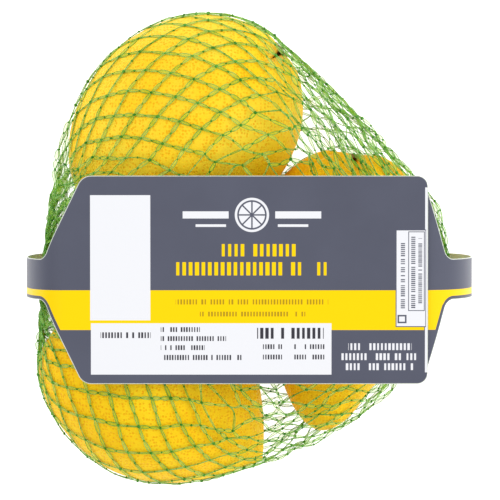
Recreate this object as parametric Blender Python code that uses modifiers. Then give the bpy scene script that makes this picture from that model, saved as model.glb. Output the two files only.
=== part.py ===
"""A pack of three lemons in a knitted net, with a printed film band round its middle.

The pack lies on its back: +Z is up, +X runs along the band from its left strap to its right one,
+Y points to the upper lemon, and the floor is at Z = 0 under the middle of the pack. Metres.

The net and what it holds are one solid: the skin of the net drawn in over each lemon, with the
cells of the net pressed into it. Between the lemons it narrows to a web at mid-height. The band is a thin closed sheet that runs round the pack,
wide at the front and back and narrow at the two sides, and laps over itself at the right.
"""

import math
from dataclasses import dataclass

import bmesh
import bpy
from mathutils import Matrix, Vector
from mathutils.bvhtree import BVHTree

# The lemons
MEAN_LEMON_DIAMETER = 0.0640
TAPER_START = 0.35
TAPER_END = 0.75
CLEARANCE = 0.0003

# The film band
FILM_THICKNESS = 0.0004
PANEL_HALF_HEIGHT = 0.0322
STRAP_HALF_HEIGHT = 0.0063
BAND_CENTRE_Y = -0.0081
FREE_END_X = 0.0550
LEFT_SHOULDER_X = -0.0518
RIGHT_SHOULDER_X = 0.0534
LEFT_SLANT_RUN = 0.0126
RIGHT_SLANT_RUN = 0.0082
SHOULDER_RADIUS = 0.0044
STRAP_FILLET_RADIUS = 0.0040
END_CORNER_RADIUS = 0.0033
LEFT_BEND_START_X = -0.0575
LEFT_BEND_X = -0.0709
RIGHT_BEND_START_X = 0.0515
RIGHT_BEND_X = 0.0706
LAP_LENGTH = 0.0150
BEND_SQUARENESS = 2.3
BAND_COLUMN_STEP = 0.0060
BAND_ROWS = 4

# The net
NET_THICKNESS = 0.0010
NET_COLUMNS = 33
NET_ROWS = 33
CELL_RIM = 0.0011
CELL_DEPTH = 0.0008
SMALLEST_CELL = 0.0045
GATHER_RADIUS = 0.0040
GATHER_Y = -0.0085
LEFT_GATHER_X = -0.0655
RIGHT_GATHER_X = 0.0640
TUFT_LENGTH = 0.0028
TUFT_RADIUS = 0.0030
WEB_HALF_DEPTH = 0.0050
VALLEY_ROUNDING = 0.0030
WIDE_SLACK_RING = (0.0012, -0.0065, 0.0595)
LEFT_SLACK_RING = (-0.0380, 0.0260, 0.0250)

# Heights worked out from the thicknesses
NET_FLOOR_Z = FILM_THICKNESS + CLEARANCE
LEMON_FLOOR_Z = NET_FLOOR_Z + NET_THICKNESS
GATHER_Z = LEMON_FLOOR_Z + MEAN_LEMON_DIAMETER / 2

GREEN_NET = (0.23, 0.43, 0.09, 1.0)
GREY_FILM = (0.115, 0.121, 0.159, 1.0)


@dataclass
class Lemon:
    """One lemon lying on its side: where it lies, and the formula of its outline."""

    name: str
    x: float
    y: float
    heading: float
    length: float
    diameter: float
    stem_power: float
    tip_power: float
    belly_shift: float
    taper: float

    def placing(self):
        """The matrix from the lemon's own frame, stem along +X, to the pack."""
        centre = Vector((self.x, self.y, LEMON_FLOOR_Z + self.diameter / 2))
        return Matrix.Translation(centre) @ Matrix.Rotation(math.radians(self.heading), 4, "Z")

    def swollen_point(self, direction, swelling):
        """The surface point in a unit direction of the lemon's own frame, moved out by swelling."""
        across = math.hypot(direction.y, direction.z)
        towards_stem = 0.5 + 0.5 * direction.x
        power = self.tip_power + (self.stem_power - self.tip_power) * towards_stem
        ease = min(1.0, max(0.0, (-direction.x - TAPER_START) / (TAPER_END - TAPER_START)))
        neck = 1 - self.taper * ease * ease * (3 - 2 * ease)
        girth = (self.diameter / 2) * across**power * neck + swelling * across
        along = (self.length / 2) * (direction.x + self.belly_shift * across**2)
        along += swelling * direction.x
        if across < 1e-6:
            return Vector((along, 0, 0))
        return Vector((along, girth * direction.y / across, girth * direction.z / across))


LEMONS = [
    Lemon("upper", -0.0207, 0.0394, 38, 0.0812, 0.0660, 1.04, 1.06, 0.02, 0.0),
    Lemon("lower", -0.0284, -0.0440, 144, 0.0798, 0.0634, 0.75, 1.78, 0.10, 0.0),
    Lemon("side", 0.0281, -0.0127, 83, 0.0912, 0.0626, 1.09, 1.07, 0.05, 0.36),
]


def plain_material(name, colour, roughness):
    """A plain Principled material."""
    material = bpy.data.materials.new(name)
    material.use_nodes = True
    shader = material.node_tree.nodes["Principled BSDF"]
    shader.inputs["Base Color"].default_value = colour
    shader.inputs["Roughness"].default_value = roughness
    shader.inputs["Metallic"].default_value = 0.0
    return material


def add_object(name, bm, collection, material=None):
    """Turns a bmesh into an object of the collection."""
    mesh = bpy.data.meshes.new(name)
    bm.to_mesh(mesh)
    bm.free()
    obj = bpy.data.objects.new(name, mesh)
    collection.objects.link(obj)
    if material:
        mesh.materials.append(material)
    return obj


def add_lemon_points(bm, lemon):
    """Adds the vertices of a sphere shaped into one lemon, swollen by the net's thickness."""
    ball = bmesh.ops.create_uvsphere(bm, u_segments=48, v_segments=36, radius=1.0)
    upright_to_stem = Matrix.Rotation(math.pi / 2, 4, "Y")
    placing = lemon.placing()
    for vert in ball["verts"]:
        direction = (upright_to_stem @ vert.co).normalized()
        vert.co = placing @ lemon.swollen_point(direction, NET_THICKNESS)


def add_slack_points(bm, x, y, radius):
    """Adds a level ring that the slack net bulges out to beside the lemons."""
    ring = bmesh.ops.create_circle(bm, segments=72, radius=radius)
    bmesh.ops.translate(bm, vec=(x, y, GATHER_Z), verts=ring["verts"])


def add_gather_points(bm, x):
    """Adds a small upright ring where the net is drawn together."""
    ring = bmesh.ops.create_circle(bm, segments=24, radius=GATHER_RADIUS)
    facing_x = Matrix.Translation((x, GATHER_Y, GATHER_Z)) @ Matrix.Rotation(math.pi / 2, 4, "Y")
    bmesh.ops.transform(bm, matrix=facing_x, verts=ring["verts"])


def bare_fruit():
    """The tree of the three lemons alone, swollen by the net's thickness."""
    bm = bmesh.new()
    for lemon in LEMONS:
        add_lemon_points(bm, lemon)
    tree = BVHTree.FromBMesh(bm)
    bm.free()
    return tree


def taut_skin():
    """The tree of the tight wrapping round the lemons and the two gathered ends."""
    bm = bmesh.new()
    for lemon in LEMONS:
        add_lemon_points(bm, lemon)
    add_slack_points(bm, *WIDE_SLACK_RING)
    add_slack_points(bm, *LEFT_SLACK_RING)
    for x in (LEFT_GATHER_X, RIGHT_GATHER_X):
        add_gather_points(bm, x)
    loose = list(bm.verts)
    hull = bmesh.ops.convex_hull(bm, input=loose)
    unused = {v for v in hull["geom_interior"] + hull["geom_unused"] if isinstance(v, bmesh.types.BMVert)}
    bmesh.ops.delete(bm, geom=list(unused), context="VERTS")
    tree = BVHTree.FromBMesh(bm)
    bm.free()
    return tree


def spaced(points, count):
    """Points at equal steps along a polyline, its two ends included."""
    reach = [0.0]
    for a, b in zip(points, points[1:], strict=False):
        reach.append(reach[-1] + (b - a).length)
    found = []
    k = 0
    for i in range(count):
        want = reach[-1] * i / (count - 1)
        while k < len(points) - 2 and reach[k + 1] < want:
            k += 1
        share = (want - reach[k]) / max(reach[k + 1] - reach[k], 1e-9)
        found.append(points[k].lerp(points[k + 1], share))
    return found


def rounded_maximum(a, b, rounding):
    """The larger of two values, eased where they are within the rounding of each other."""
    blend = max(0.0, rounding - abs(a - b))
    return max(a, b) + blend * blend / (4 * rounding)


class NetSurface:
    """The net's skin: taut from gather to gather, then drawn in between the lemons."""

    def __init__(self):
        self.tree = taut_skin()
        self.fruit = bare_fruit()
        self.heart = Vector(((LEFT_GATHER_X + RIGHT_GATHER_X) / 2, GATHER_Y, GATHER_Z))

    def hit(self, polar, turn):
        """The skin's point at a polar angle from the left gather and a turn about X."""
        across = math.sin(polar)
        way = Vector((-math.cos(polar), across * math.cos(turn), across * math.sin(turn)))
        return self.tree.ray_cast(self.heart, way)[0]

    def drawn_in(self, point):
        """A point of the taut skin moved straight towards mid-height, onto a lemon or the web."""
        side = math.copysign(1.0, point.z - GATHER_Z)
        reach = abs(point.z - GATHER_Z)
        if reach <= WEB_HALF_DEPTH:
            return point
        fruit = self.fruit.ray_cast(point + Vector((0, 0, side * NET_THICKNESS)), Vector((0, 0, -side)))[0]
        fruit_reach = side * (fruit.z - GATHER_Z) if fruit else 0.0
        drawn = rounded_maximum(fruit_reach, WEB_HALF_DEPTH, VALLEY_ROUNDING)
        return Vector((point.x, point.y, GATHER_Z + side * min(reach, drawn)))

    def even_turns(self, count):
        """Turns about X that part the middle section of the skin into equal lengths."""
        fine = 720
        section = [self.hit(math.pi / 2, 2 * math.pi * i / fine) for i in range(fine + 1)]
        ring = spaced(section, count + 1)[:-1]
        return [math.atan2(p.z - self.heart.z, p.y - self.heart.y) for p in ring]

    def meridian(self, turn):
        """NET_ROWS + 1 points from the left gather's rim to the right one's."""
        fine = 120
        half_span = (RIGHT_GATHER_X - LEFT_GATHER_X) / 2
        start = math.atan2(GATHER_RADIUS, half_span)
        polars = [start + (math.pi - 2 * start) * i / fine for i in range(fine + 1)]
        taut = spaced([self.hit(p, turn) for p in polars], NET_ROWS + 1)
        return [self.drawn_in(point) for point in taut]


def net_lattice():
    """A closed skin of diamond faces, whose corners are the knots of the net."""
    surface = NetSurface()
    turns = surface.even_turns(2 * NET_COLUMNS)
    meridians = [surface.meridian(turn) for turn in turns]
    bm = bmesh.new()
    rings = []
    for i in range(NET_ROWS + 1):
        columns = range(i % 2, 2 * NET_COLUMNS, 2)
        rings.append([bm.verts.new(meridians[c][i]) for c in columns])
    for i in range(NET_ROWS + 1):
        for j in range(NET_COLUMNS):
            left, right = rings[i][j], rings[i][(j + 1) % NET_COLUMNS]
            k = (j + i % 2) % NET_COLUMNS
            before = [rings[i - 1][k]] if i > 0 else []
            after = [rings[i + 1][k]] if i < NET_ROWS else []
            bm.faces.new([left, *before, right, *after])
    return bm, rings


def close_with_tuft(bm, ring, outward):
    """Closes one gathered end with a short tapered tuft of net."""
    cap = bm.faces.new(ring)
    grown = bmesh.ops.extrude_face_region(bm, geom=[cap])["geom"]
    tip = [v for v in grown if isinstance(v, bmesh.types.BMVert)]
    centre = sum((v.co for v in tip), Vector()) / len(tip)
    shrink = TUFT_RADIUS / GATHER_RADIUS
    for vert in tip:
        offset = vert.co - centre
        vert.co = centre + Vector((outward * TUFT_LENGTH, offset.y * shrink, offset.z * shrink))
    bmesh.ops.delete(bm, geom=[cap], context="FACES_ONLY")


def press_cells(bm):
    """Presses each wide enough cell of the net in, so that its cords stand proud."""
    cells = []
    for face in bm.faces:
        if len(face.verts) != 4:
            continue
        a, b, c, d = (v.co for v in face.verts)
        if min((a - c).length, (b - d).length) > SMALLEST_CELL:
            cells.append(face)
    bmesh.ops.inset_individual(bm, faces=cells, thickness=CELL_RIM, depth=-CELL_DEPTH)


def build_netted_lemons(collection):
    """The net with its three lemons, as one closed solid."""
    bm, rings = net_lattice()
    close_with_tuft(bm, rings[0], -1)
    close_with_tuft(bm, rings[-1], 1)
    bmesh.ops.recalc_face_normals(bm, faces=bm.faces)
    press_cells(bm)
    bmesh.ops.triangulate(bm, faces=bm.faces)
    material = plain_material("green_net", GREEN_NET, 0.5)
    return add_object("netted_lemons", bm, collection, material)


def rounded_corner(before, corner, after, radius, steps=5):
    """The arc of a rounded corner in the plane of the band's outline, as (along, half height)."""
    arm_a = (before - corner).normalized()
    arm_b = (after - corner).normalized()
    half_angle = arm_a.angle(arm_b) / 2
    middle = corner + (arm_a + arm_b).normalized() * (radius / math.sin(half_angle))
    start = (corner + arm_a * (radius / math.tan(half_angle)) - middle).normalized()
    end = (corner + arm_b * (radius / math.tan(half_angle)) - middle).normalized()
    return [middle + radius * start.slerp(end, i / steps) for i in range(steps + 1)]


def bend_points(start_x, peak_x, top_z, bottom_z, steps=18):
    """A strap's bend from the front down to the back: half a rounded box."""
    middle_z = (top_z + bottom_z) / 2
    power = 2 / BEND_SQUARENESS
    points = []
    for i in range(1, steps):
        angle = math.pi * i / steps
        rise = math.copysign(abs(math.cos(angle)) ** power, math.cos(angle))
        x = start_x + (peak_x - start_x) * math.sin(angle) ** power
        points.append(Vector((x, middle_z + rise * (top_z - bottom_z) / 2)))
    return points


class BandPath:
    """The band's middle line in the XZ plane, from the front panel's free end round to its lap."""

    def __init__(self, front_z, lap_z, back_z):
        left = bend_points(LEFT_BEND_START_X, LEFT_BEND_X, front_z, back_z)
        right = bend_points(RIGHT_BEND_START_X, RIGHT_BEND_X, lap_z, back_z)
        front = [Vector((FREE_END_X, front_z)), Vector((LEFT_BEND_START_X, front_z))]
        back = [Vector((LEFT_BEND_START_X, back_z)), Vector((RIGHT_BEND_START_X, back_z))]
        lap = [Vector((RIGHT_BEND_START_X, lap_z)), Vector((FREE_END_X - LAP_LENGTH, lap_z))]
        self.points = front + left + back + right[::-1] + lap
        self.reach = [0.0]
        for a, b in zip(self.points, self.points[1:], strict=False):
            self.reach.append(self.reach[-1] + (b - a).length)
        self.back_start = self.reach[len(front) + len(left)]
        self.back_end = self.reach[len(front) + len(left) + 1]
        self.lap_start = self.reach[-2]

    def at(self, along):
        """The point (x, z) of the path at a length along it."""
        for i in range(len(self.reach) - 1):
            if along <= self.reach[i + 1] + 1e-9:
                share = (along - self.reach[i]) / (self.reach[i + 1] - self.reach[i])
                return self.points[i].lerp(self.points[i + 1], share)
        return self.points[-1]


def slanted_end(shoulder_at, run):
    """A panel's shoulder, slanted side and strap fillet, as (along, half height), panel first.

    The run is the slant's length along the band, below zero where the panel lies ahead.
    """
    shoulder = Vector((shoulder_at, PANEL_HALF_HEIGHT))
    foot = Vector((shoulder_at + run, STRAP_HALF_HEIGHT))
    panel_side = Vector((shoulder_at - run, PANEL_HALF_HEIGHT))
    strap_side = Vector((shoulder_at + 2 * run, STRAP_HALF_HEIGHT))
    corner = rounded_corner(panel_side, shoulder, foot, SHOULDER_RADIUS)
    return corner + rounded_corner(shoulder, foot, strap_side, STRAP_FILLET_RADIUS)


def band_outline(path):
    """The flat band's half height along its length: (along, half height) points in order."""
    corner = Vector((0, PANEL_HALF_HEIGHT))
    below = Vector((0, 0))
    beside = Vector((PANEL_HALF_HEIGHT, PANEL_HALF_HEIGHT))
    outline = rounded_corner(below, corner, beside, END_CORNER_RADIUS)
    left_step = LEFT_SHOULDER_X - LEFT_BEND_START_X
    right_step = RIGHT_SHOULDER_X - RIGHT_BEND_START_X
    outline += slanted_end(FREE_END_X - LEFT_SHOULDER_X, LEFT_SLANT_RUN)
    outline += slanted_end(path.back_start + left_step, -LEFT_SLANT_RUN)[::-1]
    outline += slanted_end(path.back_end + right_step, RIGHT_SLANT_RUN)
    outline += slanted_end(path.lap_start - right_step, -RIGHT_SLANT_RUN)[::-1]
    outline.append(Vector((path.reach[-1], PANEL_HALF_HEIGHT)))
    return outline


def half_height_at(outline, along):
    """The outline's half height at a length along the band."""
    for a, b in zip(outline, outline[1:], strict=False):
        if along <= b.x + 1e-9 and b.x > a.x:
            share = max(0.0, (along - a.x) / (b.x - a.x))
            return a.y + (b.y - a.y) * share
    return outline[-1].y


def band_stations(outline, path):
    """Where the band's columns stand: every outline point, every bend point and even steps."""
    marks = {round(p.x, 5) for p in outline}
    marks |= {round(r, 5) for r in path.reach}
    count = math.ceil(path.reach[-1] / BAND_COLUMN_STEP)
    marks |= {round(path.reach[-1] * i / count, 5) for i in range(count + 1)}
    kept = []
    for mark in sorted(marks):
        if not kept or mark - kept[-1] > 0.0005:
            kept.append(mark)
    kept[-1] = path.reach[-1]
    return kept


def build_label_band(collection, net_top_z):
    """The printed film band: a sheet bent round the path and given its thickness."""
    back_z = FILM_THICKNESS / 2
    lap_z = net_top_z + CLEARANCE + FILM_THICKNESS / 2
    front_z = lap_z + FILM_THICKNESS + CLEARANCE
    path = BandPath(front_z, lap_z, back_z)
    outline = band_outline(path)
    stations = band_stations(outline, path)
    columns = len(stations) - 1
    bm = bmesh.new()
    bmesh.ops.create_grid(bm, x_segments=columns, y_segments=BAND_ROWS, size=0.5)
    for vert in bm.verts:
        along = stations[round((vert.co.x + 0.5) * columns)]
        place = path.at(along)
        height = 2 * vert.co.y * half_height_at(outline, along)
        vert.co = Vector((place.x, BAND_CENTRE_Y + height, place.y))
    material = plain_material("printed_film", GREY_FILM, 0.35)
    band = add_object("label_band", bm, collection, material)
    wall = band.modifiers.new("film", "SOLIDIFY")
    wall.thickness = FILM_THICKNESS
    wall.offset = 0.0
    wall.use_even_offset = True
    return band


def main():
    """Clears the scene and builds the pack."""
    for obj in list(bpy.data.objects):
        bpy.data.objects.remove(obj)
    collection = bpy.data.collections.new("pack_of_lemons")
    bpy.context.scene.collection.children.link(collection)
    net = build_netted_lemons(collection)
    net_top_z = max(v.co.z for v in net.data.vertices)
    build_label_band(collection, net_top_z)


main()
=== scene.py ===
"""Looks of a pack of three lemons in a knitted net, with a printed film band round its middle.

The lemons lie on their sides in one layer. The net is a knitted tube of diamonds, drawn together
at the left and right, and the band's narrow straps pass its two gathered ends. Everything is in
metres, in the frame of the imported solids; sizes of the print are in millimetres, as on a proof.
"""

import logging
import math
from collections.abc import Sequence
from dataclasses import dataclass, field
from enum import Enum

import bmesh
import bpy
import numpy as np
from mathutils import Matrix, Vector
from mathutils.bvhtree import BVHTree

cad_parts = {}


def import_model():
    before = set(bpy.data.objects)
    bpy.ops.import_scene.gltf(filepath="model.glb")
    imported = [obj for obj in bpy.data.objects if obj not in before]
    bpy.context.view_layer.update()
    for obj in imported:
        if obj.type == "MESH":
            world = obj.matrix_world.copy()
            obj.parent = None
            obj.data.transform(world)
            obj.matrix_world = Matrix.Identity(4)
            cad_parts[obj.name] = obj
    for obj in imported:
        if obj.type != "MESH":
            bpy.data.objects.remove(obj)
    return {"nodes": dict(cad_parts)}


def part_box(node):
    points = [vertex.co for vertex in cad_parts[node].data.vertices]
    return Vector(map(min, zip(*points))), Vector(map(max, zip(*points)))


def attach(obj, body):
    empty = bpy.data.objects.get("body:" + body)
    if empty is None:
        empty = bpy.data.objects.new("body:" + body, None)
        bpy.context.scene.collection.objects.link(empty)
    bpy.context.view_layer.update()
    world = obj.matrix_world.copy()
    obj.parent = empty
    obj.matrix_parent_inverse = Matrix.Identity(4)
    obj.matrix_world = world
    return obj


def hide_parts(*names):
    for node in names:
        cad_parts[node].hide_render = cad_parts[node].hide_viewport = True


LOG = logging.getLogger("pack_of_lemons")
MM = 0.001
LEMON_FLOOR_Z = 0.0017
NET_STANDOFF = 0.00055
CORD_STANDOFF = NET_STANDOFF - 0.1 * MM
GATHER_Y = -0.0085
GATHER_Z = LEMON_FLOOR_Z + 0.0320

Colour = tuple[float, float, float]
Socket = bpy.types.NodeSocket


class Ink(Enum):
    """Inks of the printed film, in linear light."""

    GREY = (0.096, 0.102, 0.140)
    YELLOW = (0.920, 0.620, 0.000)
    WHITE = (0.775, 0.782, 0.815)
    DARK = (0.040, 0.038, 0.050)
    OCHRE = (0.420, 0.270, 0.010)


class FieldKind(Enum):
    """What a printed field looks like inside its outline."""

    SOLID = "solid"
    STROKES = "strokes"
    UPRIGHT_STROKES = "upright_strokes"
    SLICE = "slice"


class Family(Enum):
    """The two directions in which the net's cords run."""

    RISING = "rising"
    FALLING = "falling"


def smoothstep(low: float, high: float, value: np.ndarray) -> np.ndarray:
    """Eases from 0 at the low limit to 1 at the high one."""
    share = np.clip((value - low) / (high - low), 0.0, 1.0)
    return share * share * (3 - 2 * share)


def unit(rows: np.ndarray) -> np.ndarray:
    """Scales each row to length 1."""
    return rows / np.linalg.norm(rows, axis=1, keepdims=True)


def reach_along(points: np.ndarray) -> np.ndarray:
    """The length of a polyline up to each of its points."""
    return np.concatenate([[0.0], np.cumsum(np.linalg.norm(np.diff(points, axis=0), axis=1))])


def full_turn(count: int) -> np.ndarray:
    """Evenly spaced angles once round, without the last."""
    return np.linspace(0.0, 2 * math.pi, count, endpoint=False)


def grid_faces(rows: int, columns: int, closed: bool = False) -> np.ndarray:
    """Lists the faces of vertices that are laid out row by row.

    Args:
        rows: How many rows of vertices there are.
        columns: How many vertices each row has.
        closed: Whether each row's last vertex joins its first.

    Returns:
        Vertex numbers of each four-sided face.
    """
    i, j = np.meshgrid(np.arange(rows - 1), np.arange(columns if closed else columns - 1), indexing="ij")
    a, b = i * columns + j, i * columns + (j + 1) % columns
    return np.stack([a, b, b + columns, a + columns], axis=-1).reshape(-1, 4)


def repeated_faces(faces: np.ndarray, step: int, count: int) -> np.ndarray:
    """Repeats a shape's faces for many copies, each a number of vertices after the last."""
    return (faces[None] + (step * np.arange(count))[:, None, None]).reshape(-1, faces.shape[1])


def mesh_object(name: str, points: np.ndarray, faces: Sequence[Sequence[int]]) -> bpy.types.Object:
    """Makes a smooth-shaded mesh object.

    Args:
        name: The object's name.
        points: Vertex places, one row each.
        faces: Vertex numbers of each face.

    Returns:
        The new object, linked to the scene.
    """
    mesh = bpy.data.meshes.new(name)
    mesh.from_pydata(np.asarray(points, dtype=float).tolist(), [], [list(f) for f in faces])
    mesh.validate()
    mesh.shade_smooth()
    obj = bpy.data.objects.new(name, mesh)
    bpy.context.scene.collection.objects.link(obj)
    return obj


class NodeBench:
    """A node tree, with short calls to add and join nodes."""

    tree: bpy.types.NodeTree

    def add(self, kind: str, **settings: object) -> bpy.types.Node:
        """Adds a node.

        Args:
            kind: The node's class name.
            settings: Properties to set on it.

        Returns:
            The new node.
        """
        node = self.tree.nodes.new(kind)
        for key, value in settings.items():
            setattr(node, key, value)
        return node

    def link(self, source: Socket, target: Socket) -> None:
        """Joins two sockets."""
        self.tree.links.new(source, target)

    def fill(self, socket: Socket, value: object) -> None:
        """Joins another socket to this one, or sets it to a number or a colour.

        Args:
            socket: The input to fill.
            value: The socket, number or colour.
        """
        if isinstance(value, Socket):
            self.link(value, socket)
        elif isinstance(value, tuple):
            socket.default_value = (*value, 1.0)[: len(socket.default_value)]
        else:
            socket.default_value = value

    def maths(self, operation: str, *inputs: object, clamp: bool = False) -> Socket:
        """Adds a Math node.

        Args:
            operation: The operation's name.
            inputs: Numbers or sockets, in order.
            clamp: Whether the result is kept between 0 and 1.

        Returns:
            The node's result.
        """
        node = self.add("ShaderNodeMath", operation=operation, use_clamp=clamp)
        for socket, value in zip(node.inputs, inputs, strict=False):
            self.fill(socket, value)
        return node.outputs[0]

    def blend(self, share: object, under: object, over: object) -> Socket:
        """Mixes two colours.

        Args:
            share: How much of the second shows, as a number or socket.
            under: The first colour or socket.
            over: The second colour or socket.

        Returns:
            The mixed colour.
        """
        node = self.add("ShaderNodeMix", data_type="RGBA")
        for number, value in ((0, share), (6, under), (7, over)):
            self.fill(node.inputs[number], value)
        return node.outputs[2]

    def ramp(self, value: Socket, low: float, high: float) -> Socket:
        """Maps a value smoothly to 0 to 1 between two limits.

        Args:
            value: The socket to map.
            low: The value that gives 0.
            high: The value that gives 1.

        Returns:
            The mapped value.
        """
        node = self.add("ShaderNodeMapRange", interpolation_type="SMOOTHSTEP")
        for number, item in enumerate((value, low, high)):
            self.fill(node.inputs[number], item)
        return node.outputs[0]


class EffectGroup(NodeBench):
    """A shader node group under construction, with named inputs and one output."""

    def __init__(self, name: str, output: str, **inputs: object) -> None:
        """Starts a group.

        Args:
            name: The group's name.
            output: The name of its output, a number.
            inputs: Default number or vector of each input, with underscores for spaces.
        """
        self.tree = bpy.data.node_groups.new(name, "ShaderNodeTree")
        for key, value in inputs.items():
            kind = "NodeSocketVector" if isinstance(value, tuple) else "NodeSocketFloat"
            socket = self.tree.interface.new_socket(key.replace("_", " "), in_out="INPUT", socket_type=kind)
            socket.default_value = value
        self.tree.interface.new_socket(output, in_out="OUTPUT", socket_type="NodeSocketFloat")
        self.given = self.tree.nodes.new("NodeGroupInput").outputs
        self.end = self.tree.nodes.new("NodeGroupOutput")

    def finish(self, value: Socket) -> bpy.types.NodeTree:
        """Joins a value to the output and hands over the tree."""
        self.link(value, self.end.inputs[0])
        return self.tree


class Effects:
    """The node groups that several finishes share, each built once."""

    ORIGIN = (0.0, 0.0, 0.0)
    FIELD = {"Place": ORIGIN, "Centre": ORIGIN}
    BOX = FIELD | {"Half_Size": (1.0, 1.0, 1.0)}
    SOFT_EDGE = 0.04

    def __init__(self) -> None:
        """Builds the groups."""
        self.mottle = self._mottle()
        self.printed_box = self._printed_box()
        self.printed_strokes = self._printed_strokes()
        self.citrus_slice = self._citrus_slice()

    @classmethod
    def _mottle(cls) -> bpy.types.NodeTree:
        """Builds the group for soft, uneven patches.

        Returns:
            The group's tree.
        """
        group = EffectGroup("soft_mottle", "Patches", Place=cls.ORIGIN, Patch_Size=0.01, Sharpness=0.5)
        noise = group.add("ShaderNodeTexNoise")
        noise.inputs["Detail"].default_value = 3.0
        group.link(group.given["Place"], noise.inputs["Vector"])
        group.link(group.maths("DIVIDE", 1.0, group.given["Patch Size"]), noise.inputs["Scale"])
        spread = group.maths("MULTIPLY", group.maths("SUBTRACT", noise.outputs[0], 0.5), 3.0)
        steep = group.maths("MULTIPLY", spread, group.maths("ADD", group.given["Sharpness"], 0.5))
        return group.finish(group.maths("ADD", steep, 0.5, clamp=True))

    @staticmethod
    def _from_centre(group: EffectGroup) -> tuple[Socket, Socket, Socket]:
        """Adds the nodes for the place measured from the field's centre.

        Args:
            group: The group under construction.

        Returns:
            The place as a vector, and its parts across and up.
        """
        offset = group.add("ShaderNodeVectorMath", operation="SUBTRACT")
        group.link(group.given["Place"], offset.inputs[0])
        group.link(group.given["Centre"], offset.inputs[1])
        parts = group.add("ShaderNodeSeparateXYZ")
        group.link(offset.outputs[0], parts.inputs[0])
        return offset.outputs[0], parts.outputs[0], parts.outputs[1]

    @classmethod
    def _inside(cls, group: EffectGroup) -> tuple[Socket, Socket, Socket]:
        """Adds the nodes for a soft-edged box mask.

        Args:
            group: The group under construction.

        Returns:
            The mask, and the place across and up from the box's centre.
        """
        _, across, up = cls._from_centre(group)
        half = group.add("ShaderNodeSeparateXYZ")
        group.link(group.given["Half Size"], half.inputs[0])
        gaps = []
        for axis, place in enumerate((across, up)):
            gaps.append(group.maths("SUBTRACT", half.outputs[axis], group.maths("ABSOLUTE", place)))
        inner = group.maths("MINIMUM", *gaps)
        return group.ramp(inner, -cls.SOFT_EDGE, cls.SOFT_EDGE), across, up

    @classmethod
    def _printed_box(cls) -> bpy.types.NodeTree:
        """Builds the group for a plain printed rectangle."""
        group = EffectGroup("printed_box", "Mask", **cls.BOX)
        return group.finish(cls._inside(group)[0])

    @classmethod
    def _printed_strokes(cls) -> bpy.types.NodeTree:
        """Builds the group for a row of short upright strokes in word-long runs.

        Returns:
            The group's tree.
        """
        group = EffectGroup("printed_strokes", "Mask", **cls.BOX, Pitch=1.0, Seed=0.0, Upright=0.0)
        mask, across, up = cls._inside(group)
        along = group.add("ShaderNodeMix", data_type="FLOAT")
        group.link(group.given["Upright"], along.inputs[0])
        group.link(across, along.inputs[2])
        group.link(up, along.inputs[3])
        steps = group.maths("DIVIDE", along.outputs[0], group.given["Pitch"])
        cell = group.maths("FLOOR", steps)
        share = group.maths("SUBTRACT", steps, cell)
        chance = group.add("ShaderNodeTexWhiteNoise", noise_dimensions="2D")
        spot = group.add("ShaderNodeCombineXYZ")
        group.link(cell, spot.inputs[0])
        group.link(group.given["Seed"], spot.inputs[1])
        group.link(spot.outputs[0], chance.inputs["Vector"])
        kept = group.maths("GREATER_THAN", chance.outputs[0], 0.15)
        edge = group.maths("ABSOLUTE", group.maths("SUBTRACT", share, 0.5))
        width = group.maths("ADD", 0.20, group.maths("MULTIPLY", chance.outputs[0], 0.14))
        stroke = group.ramp(group.maths("SUBTRACT", width, edge), -0.06, 0.06)
        return group.finish(group.maths("MULTIPLY", group.maths("MULTIPLY", mask, kept), stroke))

    @classmethod
    def _citrus_slice(cls) -> bpy.types.NodeTree:
        """Builds the group for a round citrus slice: a ring with a wheel of segments in it.

        Returns:
            The group's tree.
        """
        group = EffectGroup("citrus_slice", "Mask", **cls.FIELD, Radius=5.0, Segments=8.0)
        offset, across, up = cls._from_centre(group)
        reach = group.add("ShaderNodeVectorMath", operation="LENGTH")
        group.link(offset, reach.inputs[0])
        share = group.maths("DIVIDE", reach.outputs["Value"], group.given["Radius"])
        ring = group.maths("SUBTRACT", 0.07, group.maths("ABSOLUTE", group.maths("SUBTRACT", share, 0.93)))
        angle = group.maths("DIVIDE", group.maths("ARCTAN2", up, across), 2 * math.pi)
        turns = group.maths("MULTIPLY", angle, group.given["Segments"])
        middle = group.maths("ABSOLUTE", group.maths("SUBTRACT", group.maths("FRACT", turns), 0.5))
        gap = group.maths("MULTIPLY", group.maths("SUBTRACT", 0.5, middle), share)
        inner = group.maths("SUBTRACT", 0.76, share)
        segment = group.maths("MINIMUM", group.maths("SUBTRACT", gap, 0.055), inner)
        return group.finish(group.ramp(group.maths("MAXIMUM", ring, segment), -0.01, 0.01))


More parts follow.
